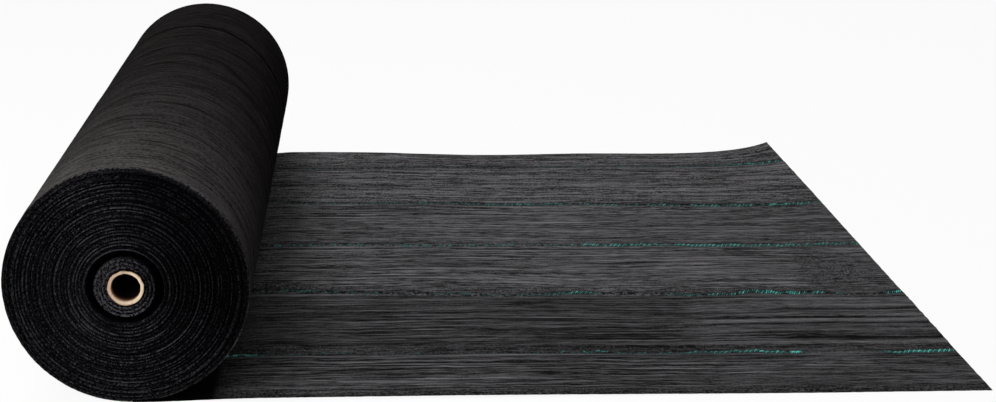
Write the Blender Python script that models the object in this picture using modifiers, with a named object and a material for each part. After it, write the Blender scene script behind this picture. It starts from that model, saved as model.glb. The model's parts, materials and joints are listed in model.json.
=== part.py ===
"""Roll of woven weed control fabric, partly unrolled, modelled in Blender.

A cardboard core carries one long black web. The web is held on the core by a strip of tape, is wound
on in a tight bunch, crosses a ring of air and goes on in the main winding. Its last lap runs off flat
along the ground into the length that is laid out, which has five green marker yarns along it.

Frame: metres, +Z up. The core lies along Y and the fabric is laid out towards +X. The origin is on
the ground under the middle of the core, where the last lap touches down.
"""

import math

import bmesh
import bpy
import numpy as np
from mathutils import Vector

# The web
WEB_WIDTH = 1.0
WEB_THICKNESS = 0.0005
SEAT_GAP = 0.0003

# The core, a cardboard tube that stands a little proud of the web at both ends
CORE_BORE_RADIUS = 0.0155
CORE_WALL = 0.004
CORE_PROUD = 0.002
CORE_CHAMFER = 0.0005
CORE_STEPS = 48

# The strip of tape between the core and the start of the web
TAPE_WIDTH = 0.03
TAPE_THICKNESS = 0.0002
TAPE_END_MARGIN = 0.03
TAPE_STEPS = 12

# The winding: a tight bunch, a crossing over a ring of air, and the main laps.
# Each modelled lap stands for about nine laps of the real web.
BUNCH_DEPTH = 0.0115
BUNCH_LAPS = 4
AIR_RING_WIDTH = 0.0087
CROSSING_LAPS = 0.2
CROSSING_THICKNESS = 0.0012
MAIN_LAPS = 19
LAP_GAP = 0.0005
LAP_STEPS = 30

# The last lap, which the winding turns inside, and its tongue flat on the ground
ROLL_RADIUS = 0.13
WRAP_CLEARANCE = 0.0005
WRAP_STEPS = 92
WRAP_END_ANGLE = math.radians(12)
CONTACT_HALF_WIDTH = 0.005
TONGUE_LENGTH = 0.02

# The laid length: slack beside the roll, slight ripples, a raised far edge and a curled far corner
LAID_REACH = 0.933
LAID_STEPS_ALONG = 32
LAID_STEPS_ACROSS = 17
STEP_CROWDING = 1.2
SLACK_RISE_LENGTH = 0.14
NEAR_SLACK_HEIGHT = 0.0055
NEAR_SLACK_REACH = 0.30
NEAR_SLACK_FALL = 0.50
FAR_SLACK_HEIGHT = 0.008
FAR_SLACK_REACH = 0.10
FAR_SLACK_FALL = 0.40
FAR_EDGE_LIFT = 0.004
FAR_EDGE_POWER = 3
RIPPLE_HEIGHT = 0.0012
RIPPLE_PITCH = 0.31
RIPPLE_SKEW_LAPS = 0.6
CORNER_LIFT = 0.017
CORNER_DRAW_IN = 0.018
CORNER_REACH_ALONG = 0.25
CORNER_REACH_ACROSS = 0.30

# The marker yarns, placed by their shares of the web's width from the near edge
MARKER_SHARES = (0.120, 0.323, 0.517, 0.705, 0.916)
YARN_RADIUS = 0.0005
YARN_CLEARANCE = 0.0004
YARN_END_MARGIN = 0.002
YARN_WANDER = 0.003
YARN_WANDER_PITCH = 0.35

# Sizes that follow from the ones above
FULL_TURN = 2 * math.pi
CORE_RADIUS = CORE_BORE_RADIUS + CORE_WALL
CORE_HALF_LENGTH = WEB_WIDTH / 2 + CORE_PROUD
TAPE_RADIUS = CORE_RADIUS + SEAT_GAP
BUNCH_START_RADIUS = TAPE_RADIUS + TAPE_THICKNESS + SEAT_GAP
BUNCH_RADIUS = BUNCH_START_RADIUS + BUNCH_DEPTH
RING_RADIUS = BUNCH_RADIUS + AIR_RING_WIDTH
WRAP_INNER_RADIUS = ROLL_RADIUS - WEB_THICKNESS
WINDING_RADIUS = WRAP_INNER_RADIUS - WRAP_CLEARANCE
AXIS_HEIGHT = math.sqrt(ROLL_RADIUS ** 2 - CONTACT_HALF_WIDTH ** 2)
DOWN = -FULL_TURN / 4
WEB_END_ANGLE = DOWN + WRAP_END_ANGLE
LAID_START = TONGUE_LENGTH + SEAT_GAP
LAID_LENGTH = LAID_REACH - LAID_START


def clear_objects():
    for item in list(bpy.data.objects):
        bpy.data.objects.remove(item, do_unlink=True)


def make_material(name, colour, roughness):
    material = bpy.data.materials.new(name)
    material.use_nodes = True
    shader = material.node_tree.nodes["Principled BSDF"]
    shader.inputs["Base Color"].default_value = (*colour, 1)
    shader.inputs["Roughness"].default_value = roughness
    shader.inputs["Metallic"].default_value = 0
    return material


def add_to_part(item, collection, parent=None):
    collection.objects.link(item)
    item.parent = parent
    return item


def make_axis_empty(name, collection, location):
    empty = bpy.data.objects.new(name, None)
    empty.location = location
    empty.empty_display_size = CORE_RADIUS
    return add_to_part(empty, collection)


def polar(radius, angle):
    """A point of the end plane, as (x, z) from the core's axis."""
    return radius * math.cos(angle), radius * math.sin(angle)


def smooth_step(share):
    share = min(max(share, 0), 1)
    return share * share * (3 - 2 * share)


# The core and its tape

def make_core(collection, axis, material):
    """A turned tube with chamfered ends, its profile run down the outer side first."""
    inner = CORE_BORE_RADIUS
    outer = CORE_RADIUS
    half = CORE_HALF_LENGTH
    bevel = CORE_CHAMFER
    profile = [(outer - bevel, half), (outer, half - bevel), (outer, bevel - half), (outer - bevel, -half),
               (inner + bevel, -half), (inner, bevel - half), (inner, half - bevel), (inner + bevel, half)]
    edges = [(index, (index + 1) % len(profile)) for index in range(len(profile))]
    mesh = bpy.data.meshes.new("core_tube")
    mesh.from_pydata([(radius, 0, height) for radius, height in profile], edges, [])
    core = bpy.data.objects.new("core_tube", mesh)
    core.rotation_euler.x = math.radians(90)
    core.data.materials.append(material)
    screw = core.modifiers.new("turn", "SCREW")
    screw.axis = "Z"
    screw.angle = FULL_TURN
    screw.steps = CORE_STEPS
    screw.render_steps = CORE_STEPS
    screw.use_smooth_shade = False
    return add_to_part(core, collection, axis)


def make_outline_piece(name, outline, half_width, collection, axis, material):
    """A closed outline of the end plane, in (x, z) from the core's axis, made solid along the core."""
    curve = bpy.data.curves.new(name, "CURVE")
    curve.dimensions = "2D"
    curve.fill_mode = "BOTH"
    curve.extrude = half_width
    spline = curve.splines.new("POLY")
    spline.points.add(len(outline) - 1)
    for point, (across, up) in zip(spline.points, outline):
        point.co = (across, up, 0, 1)
    spline.use_cyclic_u = True
    curve.materials.append(material)
    piece = bpy.data.objects.new(name, curve)
    piece.rotation_euler.x = math.radians(90)
    return add_to_part(piece, collection, axis)


def make_tape(collection, axis, material):
    """A strip round part of the core, under the start of the web."""
    start_angle = lap_angle(web_places()[0])
    sweep = TAPE_WIDTH / TAPE_RADIUS
    angles = [start_angle + sweep * step / TAPE_STEPS for step in range(TAPE_STEPS + 1)]
    outline = [polar(TAPE_RADIUS + TAPE_THICKNESS, angle) for angle in angles]
    outline += [polar(TAPE_RADIUS, angle) for angle in reversed(angles)]
    half_width = WEB_WIDTH / 2 - TAPE_END_MARGIN
    return make_outline_piece("core_tape", outline, half_width, collection, axis, material)


# The winding, whose places are counted in laps outwards along the web

def bunch_wall(lap):
    """The radius where a lap of the bunch starts, before it is trimmed to a round bunch."""
    pitch = (BUNCH_DEPTH + LAP_GAP) / BUNCH_LAPS
    return BUNCH_START_RADIUS + pitch * lap


def bunch_start_lap():
    pitch = (BUNCH_DEPTH + LAP_GAP) / BUNCH_LAPS
    return (WEB_THICKNESS + LAP_GAP) / pitch - 1


def bunch_end_lap():
    pitch = (BUNCH_DEPTH + LAP_GAP) / BUNCH_LAPS
    return (BUNCH_DEPTH - CROSSING_THICKNESS) / pitch


def main_pitch():
    return (WINDING_RADIUS - RING_RADIUS + LAP_GAP) / MAIN_LAPS


def main_start_lap():
    return bunch_end_lap() + CROSSING_LAPS


def main_wall(lap):
    """The radius where a main lap starts, before it is trimmed to the round of the winding."""
    first = RING_RADIUS + CROSSING_THICKNESS + LAP_GAP
    return first + main_pitch() * (lap - main_start_lap() - 1)


def web_end_lap():
    depth = WINDING_RADIUS - WEB_THICKNESS - RING_RADIUS - CROSSING_THICKNESS - LAP_GAP
    return main_start_lap() + 1 + depth / main_pitch()


def lap_angle(lap):
    return WEB_END_ANGLE + FULL_TURN * (lap - web_end_lap())


def web_sides(lap):
    """The radius of the web's inner side and of its outer side at a place along it."""
    if lap <= bunch_end_lap():
        return max(BUNCH_START_RADIUS, bunch_wall(lap)), min(BUNCH_RADIUS, bunch_wall(lap + 1) - LAP_GAP)
    if lap >= main_start_lap():
        return max(RING_RADIUS, main_wall(lap)), min(WINDING_RADIUS, main_wall(lap + 1) - LAP_GAP)
    rise = smooth_step((lap - bunch_end_lap()) / CROSSING_LAPS)
    inner = BUNCH_RADIUS - CROSSING_THICKNESS + rise * (AIR_RING_WIDTH + CROSSING_THICKNESS)
    return inner, inner + CROSSING_THICKNESS


def web_places():
    """Places along the web, a whole number of steps a lap so that the facets of all laps nest."""
    steps = math.floor((web_end_lap() - bunch_start_lap()) * LAP_STEPS)
    return [web_end_lap() - step / LAP_STEPS for step in range(steps, -1, -1)]


def report_least_gap(inner_side, outer_side):
    """Measure, on the outline's points, how near the web comes to the lap inside it."""
    points = np.array(inner_side)
    starts = np.array(outer_side[:-1])
    runs = np.array(outer_side[1:]) - starts
    least = math.inf
    for index in range(LAP_STEPS // 2, len(points)):
        last = index - LAP_STEPS // 2
        offsets = points[index] - starts[:last]
        shares = np.clip((offsets * runs[:last]).sum(1) / (runs[:last] ** 2).sum(1), 0, 1)
        misses = offsets - shares[:, None] * runs[:last]
        if last:
            least = min(least, float(np.sqrt((misses ** 2).sum(1)).min()))
    laps = web_end_lap() - bunch_start_lap()
    print(f"winding: {laps:.1f} laps in one web, least gap to itself {least * 1000:.3f} mm")


def make_winding(collection, axis, material):
    """One unbroken spiral of web, drawn as a single outline out along one side and back on the other."""
    inner_side = []
    outer_side = []
    for lap in web_places():
        inner, outer = web_sides(lap)
        inner_side.append(polar(inner, lap_angle(lap)))
        outer_side.append(polar(outer, lap_angle(lap)))
    report_least_gap(inner_side, outer_side)
    outline = outer_side + inner_side[::-1]
    return make_outline_piece("fabric_winding", outline, WEB_WIDTH / 2, collection, axis, material)


# The last lap

def make_wrap(collection, axis, material):
    """The lap that closes round the winding, from a flat tongue up the left side and over the top."""
    touch_angle = DOWN - math.asin(CONTACT_HALF_WIDTH / ROLL_RADIUS)
    sweep = FULL_TURN - WRAP_END_ANGLE - (DOWN - touch_angle)
    angles = [touch_angle - sweep * step / WRAP_STEPS for step in range(WRAP_STEPS + 1)]
    outer_side = [polar(ROLL_RADIUS, angle) for angle in angles]
    inner_side = [polar(WRAP_INNER_RADIUS, angle) for angle in reversed(angles[1:])]
    tongue_top = WEB_THICKNESS - AXIS_HEIGHT
    tongue = [(-CONTACT_HALF_WIDTH, tongue_top), (TONGUE_LENGTH, tongue_top), (TONGUE_LENGTH, -AXIS_HEIGHT)]
    outline = outer_side + inner_side + tongue
    return make_outline_piece("outer_wrap", outline, WEB_WIDTH / 2, collection, axis, material)


# The laid length and its marker yarns

def between(near, far, across):
    return near + (far - near) * across


def laid_point(along, across):
    """A point of the laid web's underside, from its shares of the length and of the width."""
    x = LAID_START + LAID_LENGTH * along
    y = WEB_WIDTH * across - WEB_WIDTH / 2
    reach = between(NEAR_SLACK_REACH, FAR_SLACK_REACH, across)
    fall = between(NEAR_SLACK_FALL, FAR_SLACK_FALL, across)
    slack = between(NEAR_SLACK_HEIGHT, FAR_SLACK_HEIGHT, across) * (1 - smooth_step((x - reach) / fall))
    wave = 1 - math.cos(FULL_TURN * (x / RIPPLE_PITCH + RIPPLE_SKEW_LAPS * across))
    lift = slack + FAR_EDGE_LIFT * across ** FAR_EDGE_POWER + RIPPLE_HEIGHT / 2 * wave
    curl_along = max(1 - (LAID_REACH - x) / CORNER_REACH_ALONG, 0)
    curl_across = max(1 - (WEB_WIDTH / 2 - y) / CORNER_REACH_ACROSS, 0)
    curl = curl_along ** 3 * curl_across ** 2
    rise = smooth_step((x - LAID_START) / SLACK_RISE_LENGTH)
    return Vector((x - CORNER_DRAW_IN * curl, y, rise * lift + CORNER_LIFT * curl))


def crowded(share):
    """A share of the way, with steps that crowd together towards the end."""
    return 1 - (1 - share) ** STEP_CROWDING


def make_laid_sheet(collection, material):
    mesh = bpy.data.meshes.new("laid_sheet")
    grid = bmesh.new()
    bmesh.ops.create_grid(grid, x_segments=LAID_STEPS_ALONG, y_segments=LAID_STEPS_ACROSS, size=1)
    for vertex in grid.verts:
        along = crowded((vertex.co.x + 1) / 2)
        across = crowded((vertex.co.y + 1) / 2)
        vertex.co = laid_point(along, across)
    grid.to_mesh(mesh)
    grid.free()
    sheet = bpy.data.objects.new("laid_sheet", mesh)
    sheet.data.materials.append(material)
    solidify = sheet.modifiers.new("web thickness", "SOLIDIFY")
    solidify.thickness = WEB_THICKNESS
    solidify.offset = 1
    return add_to_part(sheet, collection)


def yarn_points(share, phase):
    """The middle of a marker yarn, which wanders a little across the web and has a point at each of
    its steps, so that it keeps its clearance."""
    margin = YARN_END_MARGIN / LAID_LENGTH
    lift = Vector((0, 0, WEB_THICKNESS + YARN_CLEARANCE + YARN_RADIUS))
    points = []
    for step in range(LAID_STEPS_ALONG + 1):
        along = min(max(crowded(step / LAID_STEPS_ALONG), margin), 1 - margin)
        turn = FULL_TURN * (along * LAID_LENGTH / YARN_WANDER_PITCH + phase)
        across = share + YARN_WANDER / WEB_WIDTH * math.sin(turn)
        points.append(laid_point(along, across) + lift)
    return points


def make_marker_yarn(number, share, collection, material):
    name = f"marker_thread_{number}"
    curve = bpy.data.curves.new(name, "CURVE")
    curve.dimensions = "3D"
    curve.bevel_depth = YARN_RADIUS
    curve.bevel_resolution = 1
    curve.use_fill_caps = True
    points = yarn_points(share, number / len(MARKER_SHARES))
    spline = curve.splines.new("POLY")
    spline.points.add(len(points) - 1)
    for point, place in zip(spline.points, points):
        point.co = (*place, 1)
    curve.materials.append(material)
    return add_to_part(bpy.data.objects.new(name, curve), collection)


def main():
    clear_objects()
    part = bpy.data.collections.new("weed_fabric_roll")
    bpy.context.scene.collection.children.link(part)
    black_web = make_material("black woven web", (0.032, 0.031, 0.033), 0.55)
    cardboard = make_material("cardboard", (0.58, 0.40, 0.27), 0.85)
    tape_film = make_material("tape film", (0.70, 0.62, 0.45), 0.4)
    green_yarn = make_material("green marker yarn", (0.03, 0.22, 0.20), 0.5)
    axis = make_axis_empty("roll_axis", part, (0, 0, AXIS_HEIGHT))
    make_core(part, axis, cardboard)
    make_tape(part, axis, tape_film)
    make_winding(part, axis, black_web)
    make_wrap(part, axis, black_web)
    make_laid_sheet(part, black_web)
    for number, share in enumerate(MARKER_SHARES, start=1):
        make_marker_yarn(number, share, part, green_yarn)


main()
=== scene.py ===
"""The finish of a partly unrolled roll of woven weed control fabric.

The solid model is loaded as a fixed frame. Each operator then makes one piece, or one group of like
pieces, at the size and place that the frame gives it, and joins it to the body that it moves with.
"""

import json
import math
from collections import namedtuple

import bpy
import numpy as np
from bpy.props import FloatProperty, FloatVectorProperty, IntProperty, PointerProperty
from bpy.types import Operator, Panel, PropertyGroup
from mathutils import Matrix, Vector


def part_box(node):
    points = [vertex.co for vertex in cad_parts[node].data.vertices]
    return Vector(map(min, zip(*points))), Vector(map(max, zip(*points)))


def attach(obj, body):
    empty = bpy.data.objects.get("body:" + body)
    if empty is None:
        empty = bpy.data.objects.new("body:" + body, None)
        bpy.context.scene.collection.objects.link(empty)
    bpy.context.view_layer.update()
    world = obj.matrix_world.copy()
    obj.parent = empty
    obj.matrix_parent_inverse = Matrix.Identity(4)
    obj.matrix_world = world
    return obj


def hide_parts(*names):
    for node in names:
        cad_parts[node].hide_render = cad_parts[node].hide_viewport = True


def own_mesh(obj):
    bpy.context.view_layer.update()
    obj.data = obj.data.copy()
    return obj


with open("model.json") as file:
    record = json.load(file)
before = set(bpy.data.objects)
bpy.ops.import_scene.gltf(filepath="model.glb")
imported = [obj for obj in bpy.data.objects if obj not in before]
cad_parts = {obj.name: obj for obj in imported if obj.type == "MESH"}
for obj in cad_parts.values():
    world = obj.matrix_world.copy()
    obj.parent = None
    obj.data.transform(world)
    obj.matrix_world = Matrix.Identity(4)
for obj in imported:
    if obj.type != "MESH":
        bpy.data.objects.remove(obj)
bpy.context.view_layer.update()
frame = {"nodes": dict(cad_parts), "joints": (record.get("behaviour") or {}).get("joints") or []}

bl_info = {
    "name": "Weed fabric roll",
    "version": (1, 0, 0),
    "blender": (4, 5, 0),
    "location": "3D View > Sidebar > Fabric roll",
    "description": "Dresses a roll of woven weed control fabric and its laid length",
    "category": "Object",
}

# What the frame gives: the roll, its core, the laid length and how far the roll travels
WRAP_LOW, WRAP_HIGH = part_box("outer_wrap")
CORE_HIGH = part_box("core_tube")[1]
WINDING_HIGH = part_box("fabric_winding")[1]
ROLL_RADIUS = -WRAP_LOW.x
AXIS_HEIGHT = WRAP_HIGH.z - ROLL_RADIUS
HALF_WIDTH = WRAP_HIGH.y
CORE_RADIUS = CORE_HIGH.x
CORE_HALF_LENGTH = CORE_HIGH.y
WINDING_RADIUS = WINDING_HIGH.z - AXIS_HEIGHT
LAID_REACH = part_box("laid_sheet")[1].x
TRAVEL = next(joint["range_m"][1] for joint in frame["joints"] if joint["name"] == "roll_travel")

FULL_TURN = 2 * math.pi
DOWN = -FULL_TURN / 4
MILLIMETRE = 0.001

# The winding ends, and the last lap begins, this far round from the roll's lowest line
WEB_END_ANGLE = math.radians(12)
LAST_LAP_SWEEP = FULL_TURN - WEB_END_ANGLE

# How far the tight bunch and the ring of air sit to one side of the core, and lower
SAG_ACROSS = 0.0017
SAG_DOWN = 0.0011

# Room under the last lap's cloth that its creases sink into
WRAP_PLAY = 0.0004

# A radian round the core counts as this many metres in the grain of the roll's end
GRAIN_A_RADIAN = 0.045

# Phase of the plain weave's waves for a radian round the roll and for a metre of cloth
WEAVE_ROUND = 200
WEAVE_ALONG = 500 * math.pi


# Sizes and colours that a user would change

def length(name, description, default):
    return FloatProperty(name=name, description=description, default=default, unit="LENGTH")


def tint(name, description, default):
    return FloatVectorProperty(name=name, description=description, default=default, subtype="COLOR", size=3)


class RollSizes(PropertyGroup):
    """Sizes of the roll's fine shapes"""
    board_wall: length("Board wall", "Wall of the cardboard core", 0.004)
    bunch_radius: length("Bunch radius", "Outside of the tight laps next to the core", 0.0327)
    ring_radius: length("Ring radius", "Inside of the main winding, across the ring of air", 0.0410)
    lap_pitch: length("Lap pitch", "Step from one shown lap of the winding to the next", 0.00105)
    cloth_thickness: length("Cloth thickness", "Thickness of the woven cloth", 0.0005)
    groove_depth: length("Groove depth", "How far the low laps sit back in the roll's end", 0.0045)
    crease_depth: length("Crease depth", "Depth of the creases round the last lap", 0.0009)
    crease_count: IntProperty(
        name="Faint creases", description="Number of faint creases beside the drawn ones", default=90)
    corner_lift: length("Corner lift", "How high the far corner of the laid length curls", 0.017)
    yarn_radius: length("Yarn radius", "Radius of a green marker yarn", 0.0008)
    stitch_pitch: length("Stitch pitch", "Length of one slanted stitch of a marker yarn", 0.00295)
    stitch_width: length("Stitch width", "How far a stitch of a marker yarn slants across the cloth", 0.0066)


class RollColours(PropertyGroup):
    """Colours of the cloth, the board, the tape, the yarn and the floor"""
    # Cloth shade is the cloth's dark tone, and a tenth of it is the painted shade under the roll
    cloth_dark: tint("Cloth shade", "Black cloth in its folds and gaps", (0.006, 0.0058, 0.0062))
    cloth_light: tint("Cloth light", "Black cloth on its raised yarns", (0.215, 0.209, 0.218))
    # Roll shade is the roll's dark tone, also used as painted shade in its creases and towards its far end
    roll_dark: tint("Roll shade", "Black cloth in the roll's creases", (0.0036, 0.0027, 0.0026))
    roll_light: tint("Roll light", "Black cloth on the outside of the roll", (0.104, 0.097, 0.097))
    # Lap ends are painted nearly black as shade in the roll's end and its grooves
    lap_end: tint("Lap ends", "Edges of the laps in the roll's end", (0.0018, 0.0016, 0.0021))
    lap_rim: tint("Lap rims", "Raised edges and loose loops in the roll's end", (0.125, 0.119, 0.134))
    board: tint("Board", "Raw cardboard of the core", (0.99, 0.80, 0.58))
    board_fibre: tint("Board fibres", "Darker fibres in the cardboard", (0.66, 0.42, 0.25))
    board_left: tint("Board left", "The rim's duller left side", (0.66, 0.46, 0.33))
    board_torn: tint("Torn board", "Where the saw tore the rim", (0.42, 0.20, 0.08))
    # Painted shade: the bore darkens further in, and the board darkens on the core's outside under the laps
    bore_mouth_shade: tint("Bore mouth", "The bore just inside its ends", (0.16, 0.055, 0.016))
    bore_deep_shade: tint("Bore depth", "The bore further in", (0.004, 0.0025, 0.002))
    board_under_laps_shade: tint("Hidden board", "The core's outside under the laps", (0.006, 0.004, 0.003))
    # The tape's colours are painted shade in its hollows and painted light on its ripples
    tape_dark: tint("Tape shade", "Hollows of the core's tape", (0.55, 0.44, 0.28))
    tape_light: tint("Tape light", "Ripples of the core's tape", (0.72, 0.62, 0.44))
    yarn: tint("Marker yarn", "Green marker yarn", (0.19, 0.84, 0.75))
    # Hidden yarn is also the painted shade where a strand turns down under the cloth
    yarn_dim: tint("Hidden yarn", "Marker yarn that the black tapes cover", (0.010, 0.045, 0.042))
    floor: tint("Floor", "Pale floor and backdrop", (0.95, 0.95, 0.95))
    floor_bounce: tint("Floor bounce", "What the floor throws back onto the roll", (0.30, 0.30, 0.30))


def sizes():
    return bpy.context.scene.weed_roll_sizes


def colours():
    return bpy.context.scene.weed_roll_colours


# Shader maths

def maths_method(operation):
    """A method that adds a Math node for a wire and the values that follow it."""
    def add_node(self, *others):
        return self.tree.node("Math", {"operation": operation}, dict(enumerate([self, *others])))
    return add_node


class Wire:
    """A socket of a node tree that adds maths nodes as it is used in an expression."""

    def __init__(self, tree, socket):
        self.tree = tree
        self.socket = socket

    __add__ = __radd__ = maths_method("ADD")
    __sub__ = maths_method("SUBTRACT")
    __mul__ = __rmul__ = maths_method("MULTIPLY")
    __truediv__ = maths_method("DIVIDE")
    __pow__ = maths_method("POWER")
    __abs__ = maths_method("ABSOLUTE")
    sine = maths_method("SINE")
    or_more = maths_method("MAXIMUM")
    angle_over = maths_method("ARCTAN2")

    def __rsub__(self, other):
        return self.tree.node("Math", {"operation": "SUBTRACT"}, {0: other, 1: self})

    def __neg__(self):
        return self * -1

    def hypotenuse(self, other):
        return (self * self + other * other) ** 0.5

    def clamped(self):
        return self.tree.node("Clamp", {}, {"Value": self})

    def between(self, low, high):
        """0 below low, 1 above high, and an even rise from one to the other."""
        return ((self - low) / (high - low)).clamped()


class ShaderTree:
    """The node tree of a material or of the world, with one method that adds any node."""

    def __init__(self, owner):
        owner.use_nodes = True
        self.owner = owner
        self.nodes = owner.node_tree.nodes
        self.links = owner.node_tree.links

    def node(self, kind, settings, inputs, output=0):
        made = self.nodes.new("ShaderNode" + kind)
        for name, value in settings.items():
            setattr(made, name, value)
        for name, value in inputs.items():
            self.feed(made.inputs[name], value)
        return Wire(self, made.outputs[output])

    def feed(self, socket, value):
        if isinstance(value, Wire):
            self.links.new(value.socket, socket)
        elif socket.type == "RGBA":
            socket.default_value = (*value, 1)
        else:
            socket.default_value = value

    def surface(self, colour, roughness, specular, **bump):
        """Feed the material's own shader, with a bump where one is given, and give the material."""
        inputs = self.nodes["Principled BSDF"].inputs
        self.feed(inputs["Base Color"], colour)
        self.feed(inputs["Roughness"], roughness)
        self.feed(inputs["Specular IOR Level"], specular)
        if bump:
            self.feed(inputs["Normal"], self.node("Bump", {}, bump))
        return self.owner

    def place(self):
        """Where the point lies in the frame at rest, as a vector and as its three parts."""
        vector = self.node("TexCoord", {}, {}, "Object")
        split = self.node("SeparateXYZ", {}, {"Vector": vector}).socket.node
        return vector, *(Wire(self, output) for output in split.outputs)

    def joined(self, *parts):
        return self.node("CombineXYZ", {}, dict(enumerate(parts)))

    def noise(self, vector, scales, detail=2.0, roughness=0.5):
        """Noise with its own number of features a metre along X, Y and Z."""
        stretched = self.node("VectorMath", {"operation": "MULTIPLY"}, {0: vector, 1: scales})
        inputs = {"Vector": stretched, "Scale": 1.0, "Detail": detail, "Roughness": roughness}
        return self.node("TexNoise", {}, inputs, "Fac")

    def mark(self, name):
        """A value that the mesh carries at its points."""
        return self.node("Attribute", {"attribute_name": name}, {}, "Fac")

    def ray(self, kind):
        """1 for a ray of this kind."""
        return self.node("LightPath", {}, {}, f"Is {kind} Ray")

    def blend(self, factor, first, second):
        return self.node("Mix", {"data_type": "RGBA"}, {"Factor": factor, 6: first, 7: second}, 2)


# Materials

def lap_end_material():
    """Edges of the laps in the roll's end: painted nearly black as shade, with pale raised rims and loose
    loops, and painted shade towards the upper right.
    """
    tree = ShaderTree(bpy.data.materials.new("lap ends"))
    bunch_edge, ring_edge = sizes().bunch_radius, sizes().ring_radius
    place, x, y, z = tree.place()
    up = z - AXIS_HEIGHT
    radius = x.hypotenuse(up)
    round_core = tree.joined(radius, up.angle_over(x) * GRAIN_A_RADIAN, y)
    grain = tree.noise(round_core, (800, 900, 300), detail=3, roughness=0.7)
    breaks = tree.noise(round_core, (420, 1000, 60), roughness=0.6)
    fuzz = tree.noise(place, (460, 460, 460), roughness=0.65)
    cloud = tree.noise(place, (17, 17, 17))
    sagged = (x + SAG_ACROSS).hypotenuse(up + SAG_DOWN)
    bunch = 1 - sagged.between(bunch_edge - 0.0006, bunch_edge + 0.001)
    bunch_pitch = 0.0041
    bunch_laps = 0.5 + 0.5 * ((sagged + 0.0024 * (breaks - 0.5)) * (FULL_TURN / bunch_pitch) - 1.65).sine()
    outer_rim = radius.between(WINDING_RADIUS - 0.012, WINDING_RADIUS - 0.006)
    rim = (tree.mark("rim") + 2.9 * (breaks - 0.5)).between(0.50, 1.1) * (1 - 0.5 * outer_rim)
    cloudy = 0.45 + 0.8 * cloud.between(0.32, 0.65) + 0.4 * outer_rim
    speck = grain.between(0.50, 0.68) * (0.25 + 0.75 * tree.mark("swell")) * cloudy
    loose_edge = radius.between(WINDING_RADIUS - 0.0035, WINDING_RADIUS - 0.001) * fuzz.between(0.40, 0.60)
    loose_edge = loose_edge * (0.3 + 0.7 * up.between(-0.02, 0.08))
    # Painted shade: the wound laps darken towards the upper right of the roll's end
    painted_shade_upper_right = 1 - 0.72 * (x + 0.5 * up).between(0.0, 0.09)
    wound = (0.56 * rim + 0.42 * speck + 0.12 * fuzz.between(0.5, 0.7)) * painted_shade_upper_right + 0.40 * loose_edge
    wound = wound * sagged.between(ring_edge - 0.001, ring_edge + 0.0005)
    wound = wound * (1 - 0.25 * (-up).between(0.04, 0.10)) * (1 - 0.12 * (-x).between(0.03, 0.09))
    shallow = 1 - (HALF_WIDTH - abs(y)).between(0.004, 0.012)
    # Painted light on the upper left of the bunch's loose loops, which grow brighter below the axis, with
    # painted shade towards the upper right
    lit_side = (up - x).between(-0.02, 0.05)
    loose = fuzz.between(0.42, 0.70) * (0.14 + 1.5 * bunch_laps * bunch_laps + 0.8 * lit_side)
    loose = loose * (1 + 0.5 * (-up).between(0.004, 0.020)) * (1 - 0.4 * (x + 0.6 * up).between(0.006, 0.024))
    amount = (wound + bunch * loose) * shallow
    # The lap ends' colour is painted shade, against paler rims and loose loops
    colour = tree.blend(amount, colours().lap_end, colours().lap_rim)
    return tree.surface(colour, roughness=0.9, specular=0.0, Height=grain, Distance=0.0008, Strength=0.9)


def last_lap_material():
    """The outside of the roll: fine weave and streaks round the roll, with painted shade in its creases,
    towards the far end and on the right side, and painted light on the left side and on the lip by the far
    crease.
    """
    tree = ShaderTree(bpy.data.materials.new("last lap cloth"))
    _, x, y, z = tree.place()
    from_top = x.angle_over(z - AXIS_HEIGHT)
    round_roll = tree.joined(from_top * ROLL_RADIUS, y)
    streaks = tree.noise(round_roll, (9, 130, 1), detail=3, roughness=0.6)
    strands = tree.noise(round_roll, (38, 230, 1), detail=3, roughness=0.65)
    bands = tree.noise(round_roll, (2, 28, 1))
    grain = tree.noise(round_roll, (230, 500, 1), detail=3, roughness=0.7)
    tufts = tree.noise(round_roll, (300, 110, 1), roughness=0.6)
    weave = (from_top * WEAVE_ROUND).sine() * (y * WEAVE_ALONG).sine()
    crease = tree.mark("crease")
    lip = (-crease).clamped()
    fringe = (y + HALF_WIDTH - 0.035 * (tufts - 0.50)).between(0.0, 0.0040)
    nearness = 1 - y.between(-HALF_WIDTH, HALF_WIDTH * 0.85)
    tone = 0.50 + 1.2 * (streaks - 0.5) + (2.0 - 0.8 * nearness) * (strands - 0.5)
    tone = tone + 0.4 * (bands - 0.5) + (1.6 + 0.9 * nearness) * (grain - 0.5)
    # Painted shade and light: the cloth darkens towards the far end and on the right side near the front, and
    # lightens on the left side
    fade = (0.21 + 0.88 * nearness ** 2.8) * (1 - 0.45 * nearness * from_top.between(0.8, 1.5))
    fade = fade * (1 + 0.14 * (-from_top).between(0.3, 0.9))
    # Painted shade deepens the creases, and a painted highlight lies on the lip by the far crease
    tone = tone.clamped() * fade * (1 - 0.95 * crease.clamped()) * (1 + lip) * (0.15 + 0.85 * fringe)
    colour = tree.blend(tone, colours().roll_dark, colours().roll_light)
    relief = 0.35 * weave + 1.2 * grain + streaks
    return tree.surface(colour, roughness=0.9, specular=0.0, Height=relief, Distance=0.0007, Strength=0.9)


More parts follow.
